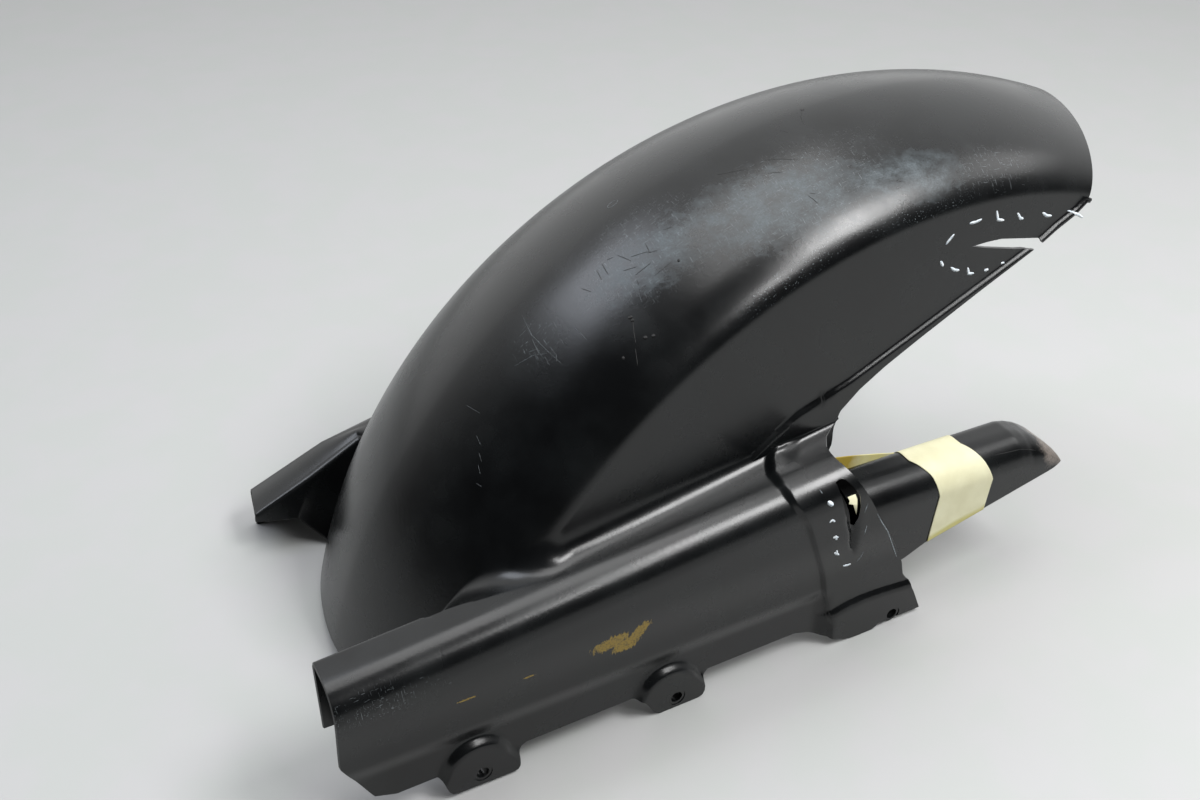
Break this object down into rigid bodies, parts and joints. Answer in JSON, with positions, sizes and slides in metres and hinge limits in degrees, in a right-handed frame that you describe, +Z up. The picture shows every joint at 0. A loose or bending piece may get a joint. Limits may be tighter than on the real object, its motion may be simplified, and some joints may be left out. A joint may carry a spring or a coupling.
{
  "type": "rear hugger mudguard",
  "caption": "Black plastic rear hugger mudguard: a tapering arch over the wheel with a chain guard along its near side, bored fixing lugs, a tail and a taped label.",
  "frame": {"origin": "centre of the front lug's bore, halfway through the lug's wall", "axes": "+X along the chain guard to the rear, +Y across to the far side, +Z up"},
  "size_m": [0.5887, 0.3076, 0.3214],
  "materials": {
    "black_plastic": "satin, scuffed",
    "paper_tape": "matt crepe paper"
  },
  "bodies": {
    "root": {"moulding": "black_plastic", "tape": "paper_tape"}
  },
  "joints": []
}
